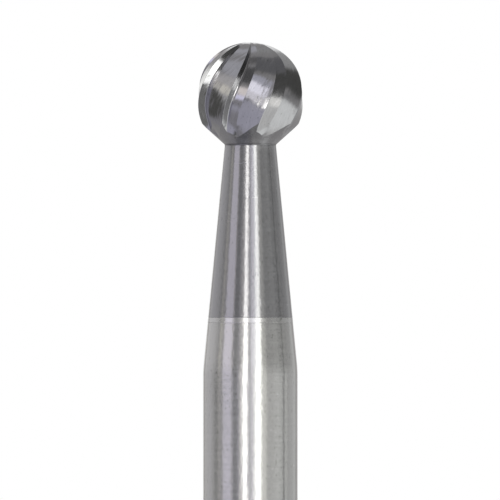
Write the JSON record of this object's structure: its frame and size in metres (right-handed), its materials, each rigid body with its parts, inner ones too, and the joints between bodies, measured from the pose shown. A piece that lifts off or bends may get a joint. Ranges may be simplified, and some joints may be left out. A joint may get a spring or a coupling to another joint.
{
  "type": "carbide burr",
  "caption": "Round carbide burr: a fluted carbide ball on a slim tapered neck, brazed end to end on a plain cylindrical steel shank.",
  "frame": {"origin": "centre of the shank's end face", "axes": "+Z along the burr's axis towards the ball, -Y faces the viewer of the picture"},
  "size_m": [0.0018, 0.0018, 0.019],
  "materials": {
    "steel": "fine ground",
    "braze": "bright, satin",
    "carbide": "ground and lapped, dark grey"
  },
  "bodies": {
    "root": {"steel_shank": "steel", "braze_joint": "braze", "carbide_head": "carbide"}
  },
  "joints": []
}
